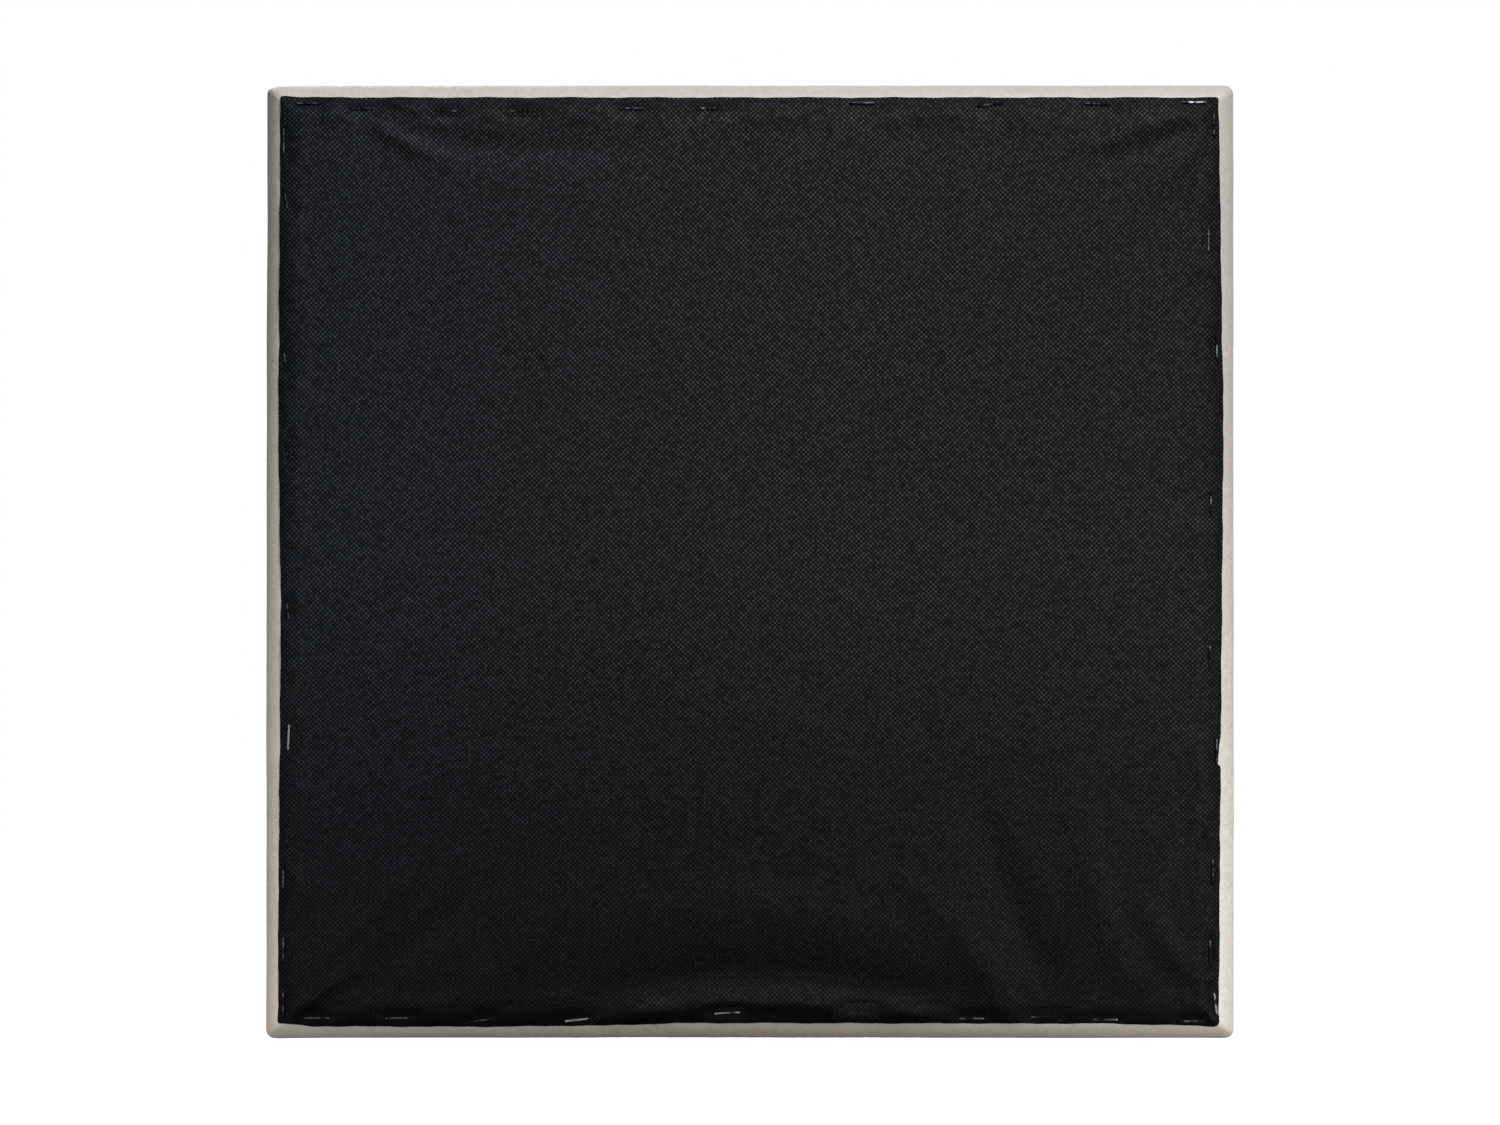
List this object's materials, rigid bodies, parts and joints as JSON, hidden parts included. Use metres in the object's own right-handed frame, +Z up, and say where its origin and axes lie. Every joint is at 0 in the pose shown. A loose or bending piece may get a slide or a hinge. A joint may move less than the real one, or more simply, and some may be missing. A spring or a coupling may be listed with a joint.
{
  "type": "wall punch pad",
  "caption": "Square upholstered wall pad for punching practice: leatherette over foam on a plywood board, closed at the back by a stapled dust cover.",
  "frame": {"origin": "centre of the back face of the dust cover, on the wall plane", "axes": "+Y out of the back of the pad into the wall, +Z up, +X to the right as seen from in front of the strike face; the strike face looks along -Y"},
  "size_m": [0.4, 0.0553, 0.394],
  "materials": {
    "black_spunbond": "matte",
    "greige_leatherette": "satin",
    "white_wadding": "matte",
    "cream_foam": "matte",
    "charcoal_foam": "matte",
    "birch_plywood": "matte",
    "zinc_steel": "satin"
  },
  "bodies": {
    "root": {"dust_cover": "black_spunbond", "leatherette_cover": "greige_leatherette", "wadding_wrap": "white_wadding", "face_foam": "cream_foam", "base_foam": "charcoal_foam", "backing_board": "birch_plywood", "cover_staple_bottom_1": "zinc_steel", "cover_staple_bottom_2": "zinc_steel", "cover_staple_bottom_3": "zinc_steel", "cover_staple_bottom_4": "zinc_steel", "cover_staple_left_1": "zinc_steel", "cover_staple_left_2": "zinc_steel", "cover_staple_left_3": "zinc_steel", "cover_staple_left_4": "zinc_steel", "cover_staple_right_1": "zinc_steel", "cover_staple_right_2": "zinc_steel", "cover_staple_right_3": "zinc_steel", "cover_staple_right_4": "zinc_steel", "cover_staple_top_1": "zinc_steel", "cover_staple_top_2": "zinc_steel", "cover_staple_top_3": "zinc_steel", "cover_staple_top_4": "zinc_steel", "dust_staple_bottom_01": "zinc_steel", "dust_staple_bottom_02": "zinc_steel", "dust_staple_bottom_03": "zinc_steel", "dust_staple_bottom_04": "zinc_steel", "dust_staple_bottom_05": "zinc_steel", "dust_staple_bottom_06": "zinc_steel", "dust_staple_bottom_07": "zinc_steel", "dust_staple_bottom_08": "zinc_steel", "dust_staple_bottom_09": "zinc_steel", "dust_staple_bottom_10": "zinc_steel", "dust_staple_left_01": "zinc_steel", "dust_staple_left_02": "zinc_steel", "dust_staple_left_03": "zinc_steel", "dust_staple_left_04": "zinc_steel", "dust_staple_left_05": "zinc_steel", "dust_staple_left_06": "zinc_steel", "dust_staple_left_07": "zinc_steel", "dust_staple_left_08": "zinc_steel", "dust_staple_left_09": "zinc_steel", "dust_staple_right_01": "zinc_steel", "dust_staple_right_02": "zinc_steel", "dust_staple_right_03": "zinc_steel", "dust_staple_right_04": "zinc_steel", "dust_staple_right_05": "zinc_steel", "dust_staple_right_06": "zinc_steel", "dust_staple_right_07": "zinc_steel", "dust_staple_right_08": "zinc_steel", "dust_staple_right_09": "zinc_steel", "dust_staple_top_01": "zinc_steel", "dust_staple_top_02": "zinc_steel", "dust_staple_top_03": "zinc_steel", "dust_staple_top_04": "zinc_steel", "dust_staple_top_05": "zinc_steel", "dust_staple_top_06": "zinc_steel", "dust_staple_top_07": "zinc_steel", "dust_staple_top_08": "zinc_steel", "dust_staple_top_09": "zinc_steel", "dust_staple_top_10": "zinc_steel"}
  },
  "joints": []
}
